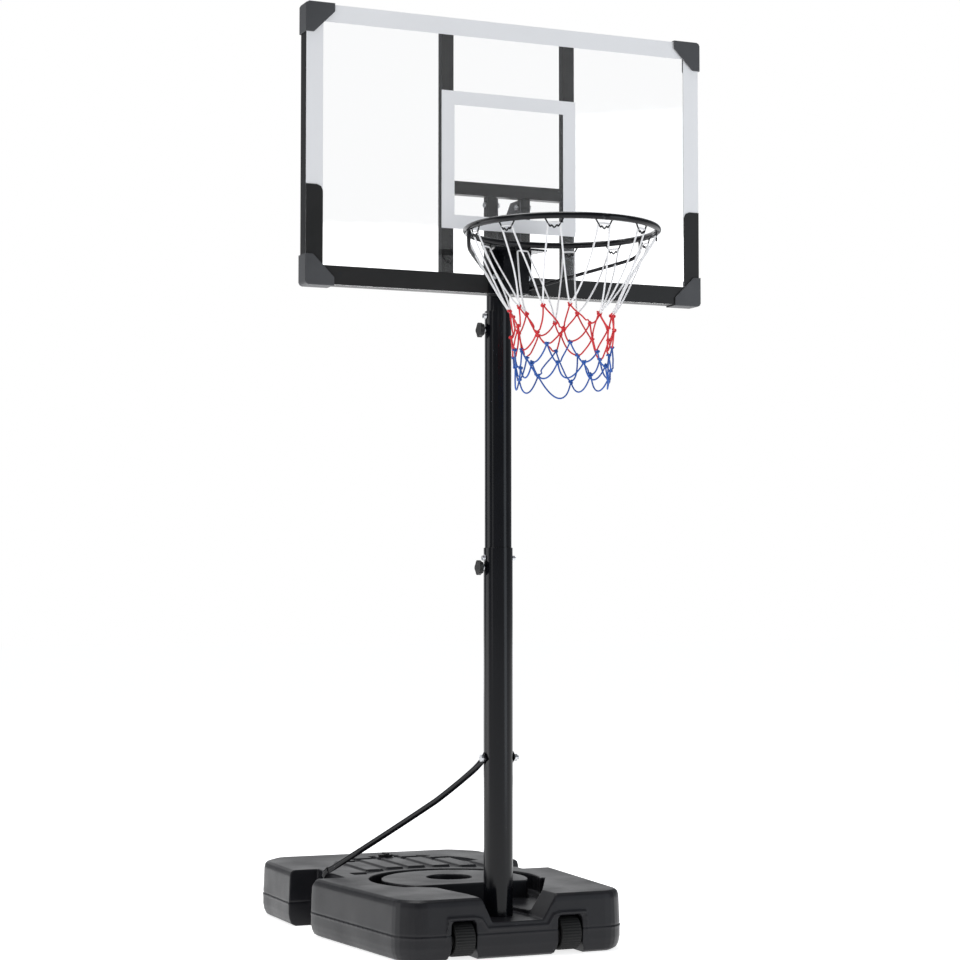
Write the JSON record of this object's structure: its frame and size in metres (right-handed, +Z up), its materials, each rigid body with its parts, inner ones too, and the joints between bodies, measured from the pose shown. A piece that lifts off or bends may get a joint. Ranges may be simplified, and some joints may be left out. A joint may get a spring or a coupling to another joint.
{
  "type": "portable basketball hoop",
  "caption": "Portable basketball hoop: wheeled water-filled base, telescoping pole with braces, framed clear backboard, ring and net.",
  "frame": {"origin": "on the floor under the pole's axis, on the underside of the base tank", "axes": "+Z up along the pole, -Y towards the court (the backboard and the ring face -Y), +X to the right seen from the court"},
  "size_m": [1.125, 1.6197, 2.4115],
  "materials": {
    "tank_plastic": "blow-moulded charcoal plastic, fine grain, satin",
    "gloss_black_steel": "gloss black powder coat",
    "frame_steel": "satin black powder coat",
    "bracket_steel": "satin dark grey powder coat",
    "zinc_steel": "bright zinc plate",
    "black_plastic": "satin black moulded plastic",
    "guard_plastic": "dark grey moulded plastic, fine texture",
    "wheel_rubber": "ribbed black rubbery plastic",
    "seal_rubber": "matt",
    "clear_panel": "clear polycarbonate sheet",
    "board_print": "light grey printed border and target square",
    "net_cord": "braided polyester cord in white, red and blue"
  },
  "bodies": {
    "base": {"base_tank": "tank_plastic", "lower_pole": "gloss_black_steel", "strut_left": "gloss_black_steel", "strut_right": "gloss_black_steel", "weld_nut_lower": "gloss_black_steel", "axle": "zinc_steel", "strut_bolt": "zinc_steel", "strut_nut": "zinc_steel", "lock_bolt_lower": "zinc_steel", "lock_nut_lower": "zinc_steel", "strut_foot_bolt_left": "zinc_steel", "strut_foot_bolt_right": "zinc_steel"},
    "mid_pole": {"mid_pole": "gloss_black_steel", "lock_bolt_upper": "zinc_steel", "lock_nut_upper": "zinc_steel", "weld_nut_upper": "gloss_black_steel"},
    "upper_pole": {"upper_pole": "gloss_black_steel", "rim_ring": "gloss_black_steel", "rim_shelf": "gloss_black_steel", "rim_box": "gloss_black_steel", "rim_back_plate": "gloss_black_steel", "rim_brace_left": "gloss_black_steel", "rim_brace_right": "gloss_black_steel", "top_rail": "frame_steel", "bottom_rail": "frame_steel", "cross_bar": "frame_steel", "side_rail_left": "frame_steel", "upright_bar_left": "frame_steel", "short_bar_left": "frame_steel", "side_rail_right": "frame_steel", "upright_bar_right": "frame_steel", "short_bar_right": "frame_steel", "bracket_plate_left": "bracket_steel", "bracket_plate_right": "bracket_steel", "clamp_bolt_lower": "zinc_steel", "clamp_bolt_upper": "zinc_steel", "bar_bolt_left": "zinc_steel", "dome_nut_left": "zinc_steel", "bar_bolt_right": "zinc_steel", "dome_nut_right": "zinc_steel", "pole_cap": "black_plastic", "bottom_trim": "black_plastic", "side_trim_left": "black_plastic", "side_trim_right": "black_plastic", "corner_guard_top_left": "guard_plastic", "corner_guard_top_right": "guard_plastic", "corner_guard_bottom_left": "guard_plastic", "corner_guard_bottom_right": "guard_plastic", "board_panel": "clear_panel", "net": "net_cord"},
    "wheel_left": {"wheel_left": "wheel_rubber"},
    "wheel_right": {"wheel_right": "wheel_rubber"},
    "knob_washer_lower": {"knob_washer_lower": "zinc_steel"},
    "knob_lower": {"knob_stud_lower": "zinc_steel", "knob_grip_lower": "black_plastic"},
    "knob_washer_upper": {"knob_washer_upper": "zinc_steel"},
    "knob_upper": {"knob_stud_upper": "zinc_steel", "knob_grip_upper": "black_plastic"},
    "fill_seal": {"fill_seal": "seal_rubber"},
    "fill_cap": {"fill_cap": "black_plastic"}
  },
  "joints": [
    {"name": "lower_extension", "type": "slide", "parent": "base", "child": "mid_pole", "axis": [0, 0, 1], "range_m": [0, 0.34]},
    {"name": "upper_extension", "type": "slide", "parent": "mid_pole", "child": "upper_pole", "axis": [0, 0, 1], "range_m": [0, 0.4]},
    {"name": "wheel_left_spin", "type": "hinge", "parent": "base", "child": "wheel_left", "pos_m": [-0.148, -0.092, 0.052], "axis": [1, 0, 0], "continuous": true},
    {"name": "wheel_right_spin", "type": "hinge", "parent": "base", "child": "wheel_right", "pos_m": [0.148, -0.092, 0.052], "axis": [1, 0, 0], "continuous": true},
    {"name": "knob_lower_travel", "type": "slide", "parent": "base", "child": "knob_washer_lower", "axis": [-1, 0, 0], "range_m": [0, 0.0038]},
    {"name": "knob_lower_turn", "type": "hinge", "parent": "knob_washer_lower", "child": "knob_lower", "pos_m": [-0.06, 0, 0.99], "axis": [-1, 0, 0], "range_deg": [0, 1080]},
    {"name": "knob_upper_travel", "type": "slide", "parent": "mid_pole", "child": "knob_washer_upper", "axis": [-1, 0, 0], "range_m": [0, 0.0038]},
    {"name": "knob_upper_turn", "type": "hinge", "parent": "knob_washer_upper", "child": "knob_upper", "pos_m": [-0.06, 0, 1.611], "axis": [-1, 0, 0], "range_deg": [0, 1080]},
    {"name": "fill_cap_travel", "type": "slide", "parent": "base", "child": "fill_seal", "axis": [0, 0, 1], "range_m": [0, 0.00605]},
    {"name": "fill_cap_turn", "type": "hinge", "parent": "fill_seal", "child": "fill_cap", "pos_m": [0.02, 0.858, 0.16], "axis": [0, 0, 1], "range_deg": [0, 720]}
  ],
  "couplings": [
    {"joint": "knob_lower_travel", "follows": "knob_lower_turn", "m_per_rad": 0.00019894},
    {"joint": "knob_upper_travel", "follows": "knob_upper_turn", "m_per_rad": 0.00019894},
    {"joint": "fill_cap_travel", "follows": "fill_cap_turn", "m_per_rad": 0.00047746}
  ]
}
